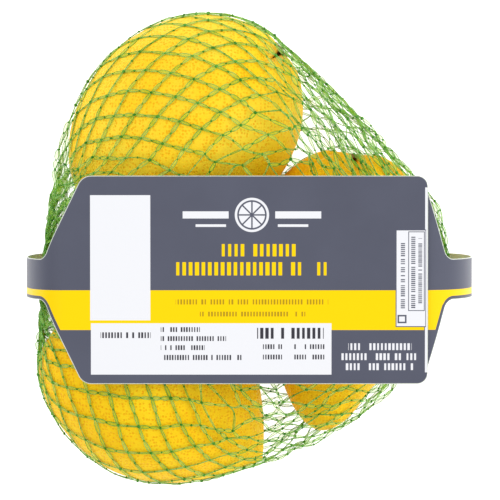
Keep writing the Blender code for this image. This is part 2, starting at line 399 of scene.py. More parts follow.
class NodeSheet(NodeBench):
    """A material's node tree."""

    def __init__(self, name: str) -> None:
        """Starts a material with one shader.

        Args:
            name: The material's name.
        """
        self.material = bpy.data.materials.new(name)
        self.material.use_nodes = True
        self.tree = self.material.node_tree
        self.shader = self.tree.nodes["Principled BSDF"]

    def group(self, tree: bpy.types.NodeTree, place: Socket, **values: object) -> Socket:
        """Places a node group with its own values.

        Args:
            tree: The group's node tree.
            place: Where the effect is measured.
            values: Values of its other inputs, with underscores for spaces in their names.

        Returns:
            The group's result.
        """
        node = self.add("ShaderNodeGroup", node_tree=tree)
        self.link(place, node.inputs["Place"])
        for key, value in values.items():
            node.inputs[key.replace("_", " ")].default_value = value
        return node.outputs[0]

    def patches(self, effects: Effects, size: float, sharpness: float) -> Socket:
        """Adds soft patches that are fixed to the piece.

        Args:
            effects: The shared node groups.
            size: How wide the patches are.
            sharpness: How hard their edges are, from 0 to 1.

        Returns:
            The patches, from 0 to 1.
        """
        place = self.add("ShaderNodeTexCoord").outputs["Object"]
        return self.group(effects.mottle, place, Patch_Size=size, Sharpness=sharpness)

    def dress(self, colour: object, **values: object) -> bpy.types.Material:
        """Fills the shader's inputs and hands over the material.

        Args:
            colour: The base colour, as a socket or a colour.
            values: Other inputs of the shader, with underscores for spaces in their names.

        Returns:
            The finished material.
        """
        self.fill(self.shader.inputs["Base Color"], colour)
        for key, value in values.items():
            self.fill(self.shader.inputs[key.replace("_", " ")], value)
        return self.material


@dataclass(frozen=True)
class RindFinish:
    """Waxy lemon rind: golden yellow with darker oil glands, the calyx's brown at the stalk, and painted
    shade in the furrows round the stem.
    """

    name: str
    light: Colour
    golden: Colour
    gland: Colour
    # Brown of the calyx, also laid into the furrows near the stem as painted shade.
    calyx_brown_and_furrow_shade: Colour
    gland_spacing: float = 1.05 * MM
    pit_depth: float = 0.10 * MM
    roughness: float = 0.48
    depth: float = 0.10
    fine_patch: float = 2.8 * MM
    broad_patch: float = 22 * MM

    def material(self, effects: Effects) -> bpy.types.Material:
        """Makes the material.

        Args:
            effects: The shared node groups.

        Returns:
            The finished material.
        """
        sheet = NodeSheet(self.name)
        fine = sheet.patches(effects, self.fine_patch, 0.2)
        glands = sheet.add("ShaderNodeTexVoronoi", feature="F1")
        glands.inputs["Scale"].default_value = 1 / self.gland_spacing
        glands.inputs["Randomness"].default_value = 0.6
        sheet.link(sheet.add("ShaderNodeTexCoord").outputs["Object"], glands.inputs["Vector"])
        near = sheet.ramp(glands.outputs["Distance"], 0.50, 0.18)
        weak = sheet.maths("MULTIPLY", near, sheet.maths("ADD", 0.55, sheet.maths("MULTIPLY", fine, 0.45)))
        base = sheet.blend(sheet.patches(effects, self.broad_patch, 0.4), self.golden, self.light)
        dotted = sheet.blend(weak, base, self.gland)
        # Brown at the stalk is the calyx's own colour; the same brown in the furrows near the stem is painted
        # shade.
        stem = sheet.add("ShaderNodeAttribute", attribute_name="calyx_brown_and_furrow_shade")
        rind_with_calyx_and_shade = sheet.blend(stem.outputs["Fac"], dotted, self.calyx_brown_and_furrow_shade)
        pits = sheet.add("ShaderNodeBump")
        pits.inputs["Distance"].default_value = self.pit_depth
        pits.inputs["Strength"].default_value = 0.8
        height = sheet.maths("SUBTRACT", sheet.maths("MULTIPLY", fine, 0.8), near)
        sheet.link(height, pits.inputs["Height"])
        rough = sheet.maths("ADD", self.roughness, sheet.maths("MULTIPLY", fine, 0.12))
        return sheet.dress(
            rind_with_calyx_and_shade,
            Normal=pits.outputs[0],
            Roughness=rough,
            Subsurface_Weight=self.depth,
            Subsurface_Radius=(1.0, 0.55, 0.08),
            Subsurface_Scale=1.5 * MM,
            Specular_IOR_Level=0.08,
        )


@dataclass(frozen=True)
class MottledFinish:
    """A plain finish in two tones that lie in soft patches, as on the yarn and the bare film."""

    name: str
    dark: Colour
    pale: Colour
    roughness: float = 0.42
    alpha: float = 1.0
    patch_size: float = 0.0035
    sharpness: float = 1.0
    specular: float = 0.2

    def material(self, effects: Effects) -> bpy.types.Material:
        """Makes the material.

        Args:
            effects: The shared node groups.

        Returns:
            The finished material.
        """
        sheet = NodeSheet(self.name)
        patches = sheet.patches(effects, self.patch_size, self.sharpness)
        colour = sheet.blend(patches, self.dark, self.pale)
        values = {"Roughness": self.roughness, "Specular_IOR_Level": self.specular, "Alpha": self.alpha}
        return sheet.dress(colour, **values)


@dataclass(frozen=True)
class PrintedField:
    """One printed field of the film: a box in millimetres, and the ink that fills it.

    The place is given as seen on the front: x to the right from the pack's middle, and up from
    the band's middle line.
    """

    left: float
    right: float
    bottom: float
    top: float
    ink: Ink
    kind: FieldKind = FieldKind.SOLID
    pitch: float = 1.0


@dataclass(frozen=True)
class FilmFinish:
    """Printed satin film, with its inner side and cut edge."""

    fields: tuple[PrintedField, ...]
    free_end_x: float
    yellow_top: float = -3.2
    yellow_bottom: float = -15.5
    yellow_border: float = 1.15
    pale_rim: float = 0.28
    rim_colour: Colour = (0.62, 0.66, 0.60)
    roughness: float = 0.38

    SOFT = {"sharpness": 0.3, "specular": 0.5}
    INSIDE = MottledFinish(
        "film_inside", (0.68, 0.68, 0.55), (0.76, 0.76, 0.64), roughness=0.5, patch_size=0.012, **SOFT
    )
    CUT_EDGE = MottledFinish(
        "film_cut_edge", (0.62, 0.64, 0.60), (0.80, 0.80, 0.78), roughness=0.45, patch_size=0.006, **SOFT
    )

    def material(self, effects: Effects) -> bpy.types.Material:
        """Makes the printed side.

        Args:
            effects: The shared node groups.

        Returns:
            The finished material.
        """
        sheet = NodeSheet("film_print")
        scaled = sheet.add("ShaderNodeVectorMath", operation="SCALE")
        sheet.link(sheet.add("ShaderNodeUVMap", uv_map="flat").outputs[0], scaled.inputs[0])
        scaled.inputs["Scale"].default_value = FilmBand.UV_UNIT
        place = scaled.outputs[0]
        parts = sheet.add("ShaderNodeSeparateXYZ")
        sheet.link(place, parts.inputs[0])
        height = parts.outputs[1]
        rim = sheet.add("ShaderNodeAttribute", attribute_name="rim_gap").outputs["Fac"]
        shade = tuple(0.88 * c for c in Ink.GREY.value)
        colour = sheet.blend(sheet.patches(effects, 0.02, 0.2), shade, Ink.GREY.value)
        soft = Effects.SOFT_EDGE
        under_top = sheet.ramp(height, self.yellow_top + soft, self.yellow_top - soft)
        over_bottom = sheet.ramp(height, self.yellow_bottom - soft, self.yellow_bottom + soft)
        off_edge = sheet.ramp(rim, self.yellow_border - 1.5 * soft, self.yellow_border + 1.5 * soft)
        yellow = sheet.maths("MULTIPLY", sheet.maths("MULTIPLY", under_top, over_bottom), off_edge)
        colour = sheet.blend(yellow, colour, Ink.YELLOW.value)
        for number, item in enumerate(self.fields):
            mask = self._field_mask(sheet, effects, place, item, number)
            colour = sheet.blend(mask, colour, item.ink.value)
        # Paler along the band's outline, in the rim colour.
        pale_near_rim = sheet.ramp(rim, self.pale_rim, self.pale_rim - 3 * soft)
        colour = sheet.blend(pale_near_rim, colour, self.rim_colour)
        return sheet.dress(colour, Roughness=self.roughness, Specular_IOR_Level=0.1)

    def _field_mask(
        self,
        sheet: NodeSheet,
        effects: Effects,
        place: Socket,
        item: PrintedField,
        number: int,
    ) -> Socket:
        """Adds one printed field.

        Args:
            sheet: The material under construction.
            effects: The shared node groups.
            place: The flat place in millimetres.
            item: The field.
            number: The field's number, which varies its strokes.

        Returns:
            The field's mask.
        """
        along_left = self.free_end_x - item.right
        along_right = self.free_end_x - item.left
        centre = ((along_left + along_right) / 2, (item.bottom + item.top) / 2, 0.0)
        half = ((along_right - along_left) / 2, (item.top - item.bottom) / 2, 1.0)
        if item.kind is FieldKind.SLICE:
            return sheet.group(effects.citrus_slice, place, Centre=centre, Radius=half[1])
        box = {"Centre": centre, "Half_Size": half}
        if item.kind is FieldKind.SOLID:
            return sheet.group(effects.printed_box, place, **box)
        upright = float(item.kind is FieldKind.UPRIGHT_STROKES)
        strokes = {"Pitch": item.pitch, "Seed": float(number), "Upright": upright}
        return sheet.group(effects.printed_strokes, place, **box, **strokes)

    def inner_material(self, effects: Effects) -> bpy.types.Material:
        """Makes the unprinted inner side."""
        return self.INSIDE.material(effects)

    def edge_material(self, effects: Effects) -> bpy.types.Material:
        """Makes the cut edge."""
        return self.CUT_EDGE.material(effects)


@dataclass
class Lemon:
    """One lemon lying on its side, with its stem along its own +X."""

    name: str
    x: float
    y: float
    heading: float
    length: float
    diameter: float
    stem_power: float
    tip_power: float
    belly_shift: float
    roll: float
    lobe_depth: float
    dimple_depth: float
    stem_lift: float
    finish: RindFinish
    taper: float = 0.0
    lobes: int = 5
    lobe_reach: float = 0.30
    lump_height: float = 0.00028
    rings: int = 170
    segments: int = 230
    table: tuple[np.ndarray, np.ndarray] = field(init=False, repr=False)

    TAPER_START = 0.35
    TAPER_END = 0.75
    RING_CROWDING = 0.30
    DIMPLE_REACH = 0.21
    LIFT_REACH = 0.42
    # How far from the stem the painted shade in the furrows reaches.
    FURROW_SHADE_REACH = 0.50
    STALK_REACH = 0.16
    BUTTON_RADIUS = 2.9 * MM
    BUTTON_HEIGHT = 1.5 * MM
    BUTTON_HOLLOW = 0.5 * MM

    def __post_init__(self) -> None:
        """Works out the distance to the surface for each angle from the stem."""
        along, girth = self.profile(np.cos(np.linspace(0.0, math.pi, 400)))
        angle = np.arctan2(girth, along)
        self.table = (angle, np.hypot(along, girth))

    def profile(self, cosine: np.ndarray) -> tuple[np.ndarray, np.ndarray]:
        """The outline of the lemon before its lobes.

        Args:
            cosine: 1 at the stem and -1 at the tip.

        Returns:
            The place along the axis and the radius there.
        """
        sine = np.sqrt(np.maximum(0.0, 1 - cosine**2))
        power = self.tip_power + (self.stem_power - self.tip_power) * (0.5 + 0.5 * cosine)
        neck = 1 - self.taper * smoothstep(self.TAPER_START, self.TAPER_END, -cosine)
        girth = self.diameter / 2 * sine**power * neck
        along = self.length / 2 * (cosine + self.belly_shift * sine**2)
        return along, girth

    def placing(self) -> Matrix:
        """The matrix from the lemon's own frame to the pack.

        Returns:
            The matrix.
        """
        centre = Vector((self.x, self.y, LEMON_FLOOR_Z + self.diameter / 2))
        turn = Matrix.Rotation(math.radians(self.heading), 4, "Z")
        return Matrix.Translation(centre) @ turn @ Matrix.Rotation(math.radians(self.roll), 4, "X")

    def to_pack(self, points: np.ndarray) -> np.ndarray:
        """Carries points from the lemon's own frame to the pack's."""
        matrix = np.array(self.placing())
        return points @ matrix[:3, :3].T + matrix[:3, 3]

    def _seen_from(self, points: np.ndarray) -> tuple[np.ndarray, np.ndarray, np.ndarray]:
        """Measures points from the lemon's middle.

        Args:
            points: Places in the pack, one row each.

        Returns:
            The places in the lemon's own frame, how far off they are, and the surface's reach there.
        """
        matrix = np.array(self.placing())
        local = (points - matrix[:3, 3]) @ matrix[:3, :3]
        angle = np.arctan2(np.hypot(local[:, 1], local[:, 2]), local[:, 0])
        return local, np.linalg.norm(local, axis=1), np.interp(angle, *self.table)

    def push_out(self, points: np.ndarray, clearance: float) -> np.ndarray:
        """Moves points that lie too deep out to the surface.

        Args:
            points: Places in the pack, one row each.
            clearance: How far above the surface they stay.

        Returns:
            The moved places.
        """
        local, reach, surface = self._seen_from(points)
        limit = surface + clearance
        deep = reach < limit
        local[deep] *= (limit[deep] / reach[deep])[:, None]
        return self.to_pack(local)

    def depth_of(self, points: np.ndarray) -> np.ndarray:
        """How far points stand above the surface, below zero inside it."""
        _, reach, surface = self._seen_from(points)
        return reach - surface

    def outline_points(self, swelling: float) -> np.ndarray:
        """Points all over the surface, moved out for the net to wrap.

        Args:
            swelling: How far they are moved out.

        Returns:
            The points in the pack, one row each.
        """
        polar = np.linspace(0.0, math.pi, 37)
        turn = full_turn(48)
        cosine, sine = np.cos(polar), np.sin(polar)
        along, girth = self.profile(cosine)
        along, girth = along + swelling * cosine, girth + swelling * sine
        across, up = np.outer(girth, np.cos(turn)), np.outer(girth, np.sin(turn))
        return self.to_pack(np.stack([np.repeat(along, turn.size), across.ravel(), up.ravel()], axis=1))

    def _relief(self, polar: np.ndarray, turn: np.ndarray) -> tuple[np.ndarray, np.ndarray]:
        """The lobes and furrows round the stem and the soft lumps of the rind.

        Args:
            polar: Angle from the stem at each vertex.
            turn: Angle about the axis at each vertex.

        Returns:
            How far each vertex sinks, and how deep it lies in a furrow from 0 to 1.
        """
        uneven = 0.3 * np.sin(turn + self.roll) + 0.15 * np.sin(2 * turn + 1.7)
        ridge = np.abs(np.cos(self.lobes / 2 * turn + uneven)) ** 0.55
        near_stem = np.exp(-((np.maximum(0.0, polar - 0.26) / self.lobe_reach) ** 2))
        furrow = (1 - ridge) * near_stem
        lumps = np.sin(3.1 * turn + 2 * polar) * np.sin(2.7 * polar + 1.3)
        lumps += 0.6 * np.sin(5 * turn - 4.3 * polar) * np.sin(4 * polar)
        fade = np.sin(polar) ** 2
        sink = self.lobe_depth * (furrow - 0.1 * near_stem) - self.lump_height * lumps * fade
        return sink, furrow

    def _lift(self, polar: np.ndarray) -> np.ndarray:
        """How far the stem's end is turned up, at each angle from the stem."""
        return self.stem_lift * np.exp(-((polar / self.LIFT_REACH) ** 2))

    def build(self, effects: Effects) -> bpy.types.Object:
        """Builds the lemon.

        Args:
            effects: The shared node groups.

        Returns:
            The lemon's object.
        """
        share = np.linspace(0.0, 1.0, self.rings + 1)
        polar_ring = math.pi * (share - self.RING_CROWDING * np.sin(2 * math.pi * share) / (2 * math.pi))
        polar, turn = np.meshgrid(polar_ring[1:-1], full_turn(self.segments), indexing="ij")
        polar, turn = polar.ravel(), turn.ravel()
        along, girth = self.profile(np.cos(polar))
        sink, furrow = self._relief(polar, turn)
        dip = self.dimple_depth * np.exp(-((polar / self.DIMPLE_REACH) ** 2))
        along = along - dip - sink * np.cos(polar)
        girth = girth - sink * np.sin(polar)
        ends = self.profile(np.array([1.0, -1.0]))[0] - np.array([self.dimple_depth, 0.0])
        points = np.stack([along, girth * np.cos(turn), girth * np.sin(turn)], axis=1)
        points = self.to_pack(np.vstack([points, [[ends[0], 0, 0], [ends[1], 0, 0]]]))
        points[:, 2] += self._lift(np.concatenate([polar, [0.0, math.pi]]))
        lemon = mesh_object(self.name, points, self._faces())
        # Painted shade in the furrows near the stem, plus the calyx's own brown round the stalk.
        calyx_and_shade_share = furrow * np.exp(-((polar / self.FURROW_SHADE_REACH) ** 2))
        calyx_and_shade_share = calyx_and_shade_share + np.exp(-((polar / self.STALK_REACH) ** 2))
        calyx_and_shade_share = np.concatenate([calyx_and_shade_share, [1.0, 0.25]])
        layer = lemon.data.attributes.new("calyx_brown_and_furrow_shade", "FLOAT", "POINT")
        layer.data.foreach_set("value", np.clip(0.8 * calyx_and_shade_share, 0.0, 1.0).astype(np.float32))
        lemon.data.materials.append(self.finish.material(effects))
        return lemon

    def _faces(self) -> list[tuple[int, ...]]:
        """Lists the faces of the lemon's grid of rings.

        Returns:
            Vertex numbers of each face.
        """
        rows, count = self.rings - 1, self.segments
        faces = grid_faces(rows, count, closed=True)[:, [0, 3, 2, 1]].tolist()
        last = (rows - 1) * count
        for j in range(count):
            k = (j + 1) % count
            faces.append((j, k, rows * count))
            faces.append((last + k, last + j, rows * count + 1))
        return faces

    def stem_button(self, finish: MottledFinish, effects: Effects) -> bpy.types.Object:
        """Builds the dried button that the stalk left in the dimple.

        Args:
            finish: The button's finish.
            effects: The shared node groups.

        Returns:
            The button's object.
        """
        count, rows = 60, 10
        share, turn = np.meshgrid(np.linspace(0.0, 1.0, rows), full_turn(count), indexing="ij")
        share, turn = share.ravel(), turn.ravel()
        scallops = 1 + 0.20 * share**2 * np.cos(5 * turn) + 0.07 * np.sin(9 * turn)
        reach = self.BUTTON_RADIUS * share * scallops
        rise = self.BUTTON_HEIGHT * np.sqrt(np.maximum(0.0, 1 - share**2))
        rise = rise - self.BUTTON_HOLLOW * np.exp(-((share / 0.3) ** 2))
        rise += 0.12 * MM * np.sin(7 * turn) * share
        seat = self.profile(np.array([1.0]))[0][0] - self.dimple_depth
        points = np.stack([seat + rise, reach * np.cos(turn), reach * np.sin(turn)], axis=1)
        points = self.to_pack(points) + [0.0, 0.0, self.stem_lift]
        faces = grid_faces(rows, count, closed=True)[:, [0, 3, 2, 1]].tolist()
        button = mesh_object(f"{self.name}_stem_button", points, faces)
        button.data.materials.append(finish.material(effects))
        return button


class TubeBatch:
    """Many thin tubes gathered into one mesh."""

    def __init__(self, sides: int) -> None:
        """Starts an empty batch.

        Args:
            sides: How many sides each tube has.
        """
        self.sides = sides
        self.points: list[np.ndarray] = []
        self.faces: list[np.ndarray] = []
        self.count = 0

    def add(self, path: np.ndarray, radius: np.ndarray, across: np.ndarray, normal: np.ndarray) -> None:
        """Adds a tube along a path.

        Args:
            path: Points of the tube's middle line.
            radius: The tube's radius at each point.
            across: A unit direction across the path at each point.
            normal: A unit direction square to both.
        """
        steps = len(path)
        turn = full_turn(self.sides)[None, :, None]
        rim = across[:, None, :] * np.cos(turn) + normal[:, None, :] * np.sin(turn)
        self.points.append((path[:, None, :] + rim * radius[:, None, None]).reshape(-1, 3))
        self.faces.append(grid_faces(steps, self.sides, closed=True) + self.count)
        self.count += steps * self.sides

    def build(self, name: str) -> bpy.types.Object:
        """Makes the batch one mesh object."""
        return mesh_object(name, np.vstack(self.points), np.vstack(self.faces).tolist())


@dataclass
class KnittedNet:
    """The tube of diamond cells round the lemons, drawn together at its two ends."""

    lemons: list[Lemon]
    columns: int = 50
    rows: int = 30
    cell_edge: float = 0.0088
    left_x: float = -0.0655
    right_x: float = 0.0640
    gather_radius: float = 0.0034
    wide_slack: tuple[float, float, float] = (0.0012, -0.0065, 0.0595)
    left_slack: tuple[float, float, float] = (-0.0380, 0.0260, 0.0250)
    right_slack: tuple[float, float, float] = (0.0592, 0.0140, 0.0014)
    filament_radius: float = 0.00013
    widest_cord: float = 0.00064
    steps: int = 9
    evening: float = 0.25
    tautness: float = 0.45
    even_share: float = 0.46
    gather_slack: float = 1.3
    shares: tuple[float, ...] = (0.0, 0.06, 0.12, 0.17, 0.22, 0.30, 0.40, 0.50, 0.58, 0.65, 0.75, 1.0)
    squeeze: tuple[float, ...] = (0.0, -3.0, -8.0, -5.0, 0.6, 1.3, 2.0, 2.2, 1.0, -2.2, -2.6, -1.0)
    twist: tuple[float, ...] = (1.0, 1.0, 1.0, 1.0, 1.2, 1.3, 1.2, 1.0, 0.9, 1.4, 1.6, 1.2)
    rounds: int = 5
    seed: int = 7
    crossing_knot: float = 0.50 * MM
    mid_knot: float = 0.36 * MM
    fibre_count: int = 110
    fibre_radius: float = 0.06 * MM
    gather_cord: float = 0.26 * MM
    tuft_length: float = 2.7 * MM
    tree: BVHTree = field(init=False, repr=False)
    nodes: np.ndarray = field(init=False, repr=False)

    FREE_FROM = 0.8 * MM
    FREE_AT = 3.0 * MM
    SLACK_STARTS = (0.03, 0.11)
    SLACK_ENDS = (0.24, 0.12)
    KNOT_SHIFT = (0.30 * MM, 0.75 * MM)
    BOW = (0.10, 0.35)
    TURN_SPREAD = (0.35, 1.0)
    UNTWIST = 0.5
    LEAST_GAP = 0.17
    LOWEST_Z = LEMON_FLOOR_Z - 0.6 * MM
    KNOT_STRETCH = (0.65, 1.35)
    FIBRE_STEPS = 12
    FIBRE_LENGTH = (0.8, 2.6)
    FIBRE_HEIGHT = (0.3, 1.3)
    FIBRE_CURL = 0.4 * MM
    THROAT_DEPTH = 0.45
    YARN = MottledFinish("net_yarn", (0.150, 0.440, 0.050), (0.290, 0.610, 0.160), 0.45, 0.60)
    WEB = MottledFinish("net_web", (0.330, 0.620, 0.030), (0.420, 0.700, 0.110), 0.5, 0.40)
    KNOT = MottledFinish("net_knot", (0.030, 0.190, 0.008), (0.090, 0.340, 0.035), 0.5)

    def __post_init__(self) -> None:
        """Wraps the skin and lets the net's knots settle on it."""
        self.rng = np.random.default_rng(self.seed)
        self.tree = self._skin()
        self.nodes = self._first_nodes()
        self._settle(self.rounds)
        self._loosen()

    def _skin(self) -> BVHTree:
        """Wraps a tight skin round the lemons, the slack and the gathered ends.

        Returns:
            A search tree of the skin.
        """
        clouds = [lemon.outline_points(NET_STANDOFF) for lemon in self.lemons]
        turn = full_turn(72)
        for x, y, radius in (self.wide_slack, self.left_slack, self.right_slack):
            level = np.full_like(turn, GATHER_Z)
            clouds.append(np.stack([x + radius * np.cos(turn), y + radius * np.sin(turn), level], axis=1))
        for x in (self.left_x, self.right_x):
            ring_y = GATHER_Y + self.gather_radius * np.cos(turn)
            ring_z = GATHER_Z + self.gather_radius * np.sin(turn)
            clouds.append(np.stack([np.full_like(turn, x), ring_y, ring_z], axis=1))
        bm = bmesh.new()
        for point in np.vstack(clouds):
            bm.verts.new(point)
        hull = bmesh.ops.convex_hull(bm, input=list(bm.verts))
        spare = {v for v in hull["geom_interior"] + hull["geom_unused"] if isinstance(v, bmesh.types.BMVert)}
        bmesh.ops.delete(bm, geom=list(spare), context="VERTS")
        tree = BVHTree.FromBMesh(bm)
        bm.free()
        return tree

    @staticmethod
    def _evenly(points: np.ndarray, count: int) -> np.ndarray:
        """Points at equal steps along a polyline.

        Args:
            points: The polyline.
            count: How many points to give, ends included.

        Returns:
            The evenly spaced points.
        """
        reach = reach_along(points)
        want = np.linspace(0.0, reach[-1], count)
        return np.stack([np.interp(want, reach, points[:, axis]) for axis in range(3)], axis=1)

    def _hit(self, heart: Vector, polar: float, turn: float) -> np.ndarray:
        """Finds the skin's point in a direction from the pack's middle.

        Args:
            heart: The pack's middle.
            polar: Angle from the left gather.
            turn: Angle about the line between the gathers.

        Returns:
            The point.
        """
        across = math.sin(polar)
        way = Vector((-math.cos(polar), across * math.cos(turn), across * math.sin(turn)))
        return np.array(self.tree.ray_cast(heart, way)[0])

    def _first_nodes(self) -> np.ndarray:
        """Lays the knots on the skin along lines from gather to gather.

        Returns:
            The knots' places, by row and column.
        """
        heart = Vector(((self.left_x + self.right_x) / 2, GATHER_Y, GATHER_Z))
        fine = np.linspace(0.0, 2 * math.pi, 721)
        section = np.array([self._hit(heart, math.pi / 2, turn) for turn in fine])
        ring = self._evenly(section, 2 * self.columns + 1)[:-1]
        turns = np.arctan2(ring[:, 2] - heart.z, ring[:, 1] - heart.y)
        start = math.atan2(self.gather_radius, (self.right_x - self.left_x) / 2)
        polars = np.linspace(start, math.pi - start, 160)
        drawn = self._drawn_turns(turns, polars / math.pi)
        lines = []
        for column in drawn.T:
            line = np.array([self._hit(heart, p, t) for p, t in zip(polars, column, strict=True)])
            lines.append(self._evenly(line, self.rows + 1))
        grid = np.empty((self.rows + 1, self.columns, 3))
        for i in range(self.rows + 1):
            for j in range(self.columns):
                grid[i, j] = lines[2 * j + i % 2][i]
        return grid

    def _drawn_turns(self, turns: np.ndarray, share: np.ndarray) -> np.ndarray:
        """Follows each line of the net from end to end, squeezed to the rims and twisted on the way.

        Args:
            turns: Each line's turn where the net is even.
            share: Places from the left gather at 0 to the right one at 1.

        Returns:
            The turn of each line, by place and line.
        """
        squeeze = np.interp(share, self.shares, self.squeeze)
        twist = np.interp(share, self.shares, self.twist)
        drawn = np.empty((share.size, turns.size))
        middle = int(np.argmin(np.abs(share - self.even_share)))
        drawn[middle] = turns
        for way, ends in ((1, range(middle, share.size - 1)), (-1, range(middle, 0, -1))):
            for i in ends:
                step = share[i + way] - share[i]
                drawn[i + way] = drawn[i] + step * (twist[i] - squeeze[i] * np.sin(2 * drawn[i]))
        return drawn

    def _neighbours(self, row: int, family: Family) -> np.ndarray:
        """The columns of the next row that a row's cords run to."""
        step = row % 2 if family is Family.RISING else row % 2 - 1
        return (np.arange(self.columns) + step) % self.columns

    def _settle(self, rounds: int) -> None:
        """Lets the knots slide on the skin until the taut cords run smoothly through them.

        Args:
            rounds: How many times each cord is eased.
        """
        for _ in range(rounds):
            shift = np.zeros_like(self.nodes)
            for row in range(self.rows):
                for family in Family:
                    other = self._neighbours(row, family)
                    span = self.nodes[row + 1, other] - self.nodes[row]
                    length = np.linalg.norm(span, axis=1, keepdims=True)
                    pull = self.evening * (length - self.cell_edge) / length + self.tautness
                    shift[row] += pull * span / 4
                    np.add.at(shift[row + 1], other, -pull * span / 4)
            self.nodes[1:-1] += shift[1:-1]
            self._to_skin()

    def _to_skin(self) -> None:
        """Puts every free knot back on the skin."""
        for row in range(1, self.rows):
            for column in range(self.columns):
                self.nodes[row, column] = self.tree.find_nearest(Vector(self.nodes[row, column]))[0]

    def _loosen(self) -> None:
        """Makes the net uneven, most of all where no lemon backs it."""
        jitter = self.rng.normal(0.0, 1.0, self.nodes.shape)
        free = self._freedom(self.nodes.reshape(-1, 3)).reshape(self.nodes.shape[:2])
        inner = slice(2, self.rows - 1)
        amount = self.KNOT_SHIFT[0] + self.KNOT_SHIFT[1] * free
        self.nodes[inner] += (jitter * amount[..., None])[inner]
        self._to_skin()

    def _freedom(self, points: np.ndarray) -> np.ndarray:
        """How free the net is at some points: 0 on a lemon, 1 well off it."""
        gap = np.min([lemon.depth_of(points) for lemon in self.lemons], axis=0)
        return smoothstep(self.FREE_FROM, self.FREE_AT, gap)

    def _normals(self, points: np.ndarray) -> np.ndarray:
        """The skin's outward directions nearest to some points.

        Args:
            points: Places in the pack, one row each.

        Returns:
            A unit direction for each point.
        """
        found = np.array([self.tree.find_nearest(Vector(p))[1] for p in points])
        heart = np.array([0.0, GATHER_Y, GATHER_Z])
        flip = np.sign(np.sum(found * (points - heart), axis=1, keepdims=True))
        return found * np.where(flip == 0, 1.0, flip)

    def _cord_path(self, start: np.ndarray, end: np.ndarray) -> np.ndarray:
        """The middle line of one cord, bowed a little and lying on what is under it.

        Args:
            start: The knot it leaves.
            end: The knot it reaches.

        Returns:
            The line's points.
        """
        share = np.linspace(0.0, 1.0, self.steps)[:, None]
        path = start + (end - start) * share
        free = self._freedom(path)
        bow = self.rng.normal(0.0, 1.0, 3) * (self.BOW[0] + self.BOW[1] * free.mean()) * MM
        path = path + bow * np.sin(math.pi * share)
        for lemon in self.lemons:
            path = lemon.push_out(path, CORD_STANDOFF)
        path[:, 2] = np.maximum(path[:, 2], self.LOWEST_Z)
        return path

    def build_cords(self, family: Family) -> tuple[TubeBatch, list[np.ndarray], list[np.ndarray]]:
        """Builds the cords of one direction: two filaments each, with a web between them.

        Args:
            family: Which of the two directions.

        Returns:
            The filaments, the strips of web, and the places of the knots at mid-cord.
        """
        batch = TubeBatch(sides=4)
        webs, middles = [], []
        share = np.linspace(0.0, 1.0, self.steps)
        for row in range(self.rows):
            other = self._neighbours(row, family)
            at = row / self.rows
            near = float(smoothstep(*self.SLACK_ENDS, at) * smoothstep(*self.SLACK_STARTS, at))
            for column in range(self.columns):
                path = self._cord_path(self.nodes[row, column], self.nodes[row + 1, other[column]])
                along = unit(np.gradient(path, axis=0))
                free = float(self._freedom(path).mean())
                across = unit(np.cross(self._normals(path), along))
                start = self.rng.normal(0.0, self.TURN_SPREAD[0] + self.TURN_SPREAD[1] * free)
                end = self.rng.normal(0.0, self.UNTWIST * free)
                twist = start + np.linspace(0.0, end, self.steps)
                up = np.cross(along, across)
                side = across * np.cos(twist)[:, None] + up * np.sin(twist)[:, None]
                rise = np.cross(along, side)
                half = self._half_widths(share) * (1.0 + self.gather_slack * near * free)
                edges = [path - side * half[:, None], path + side * half[:, None]]
                for line in edges:
                    batch.add(line, np.full(self.steps, self.filament_radius), side, rise)
                webs.append(np.stack(edges, axis=1))
                middles.append(path[self.steps // 2])
        return batch, webs, middles

    def _half_widths(self, share: np.ndarray) -> np.ndarray:
        """Half the gap between a cord's two filaments, drawn in at the knots.

        Args:
            share: The place along the cord, from 0 to 1.

        Returns:
            The half gaps.
        """
        wide = self.widest_cord * (0.35 + 0.65 * self.rng.beta(1.4, 1.4, 2))
        lean = self.rng.uniform(0.7, 1.4, 2)
        first = np.maximum(0.0, np.sin(math.pi * np.clip(2 * share, 0, 1) ** lean[0])) ** 0.3
        second = np.maximum(0.0, np.sin(math.pi * np.clip(2 * share - 1, 0, 1) ** lean[1])) ** 0.3
        bulge = np.where(share < 0.5, wide[0] * first, wide[1] * second)
        return self.LEAST_GAP * self.widest_cord + (1 - self.LEAST_GAP) * bulge

    def build_web(self, name: str, strips: list[np.ndarray]) -> bpy.types.Object:
        """Makes the thin web between the filaments.

        Args:
            name: The object's name.
            strips: Pairs of edge points along each cord.

        Returns:
            The web's object.
        """
        points = np.vstack([strip.reshape(-1, 3) for strip in strips])
        faces = repeated_faces(grid_faces(self.steps, 2), 2 * self.steps, len(strips))
        return mesh_object(name, points, faces.tolist())

    def build_knots(self, name: str, places: np.ndarray, size: float) -> bpy.types.Object:
        """Builds small lumpy knots.

        Args:
            name: The object's name.
            places: Where the knots are, one row each.
            size: The knots' half width.

        Returns:
            The knots' object.
        """
        bm = bmesh.new()
        bmesh.ops.create_icosphere(bm, subdivisions=1, radius=1.0)
        shape = unit(np.array([v.co for v in bm.verts]))
        cells = np.array([[v.index for v in f.verts] for f in bm.faces])
        bm.free()
        stretch = self.rng.uniform(*self.KNOT_STRETCH, (len(places), 1, 3))
        points = places[:, None, :] + shape[None] * size * stretch
        faces = repeated_faces(cells, len(shape), len(places))
        return mesh_object(name, points.reshape(-1, 3), faces.tolist())

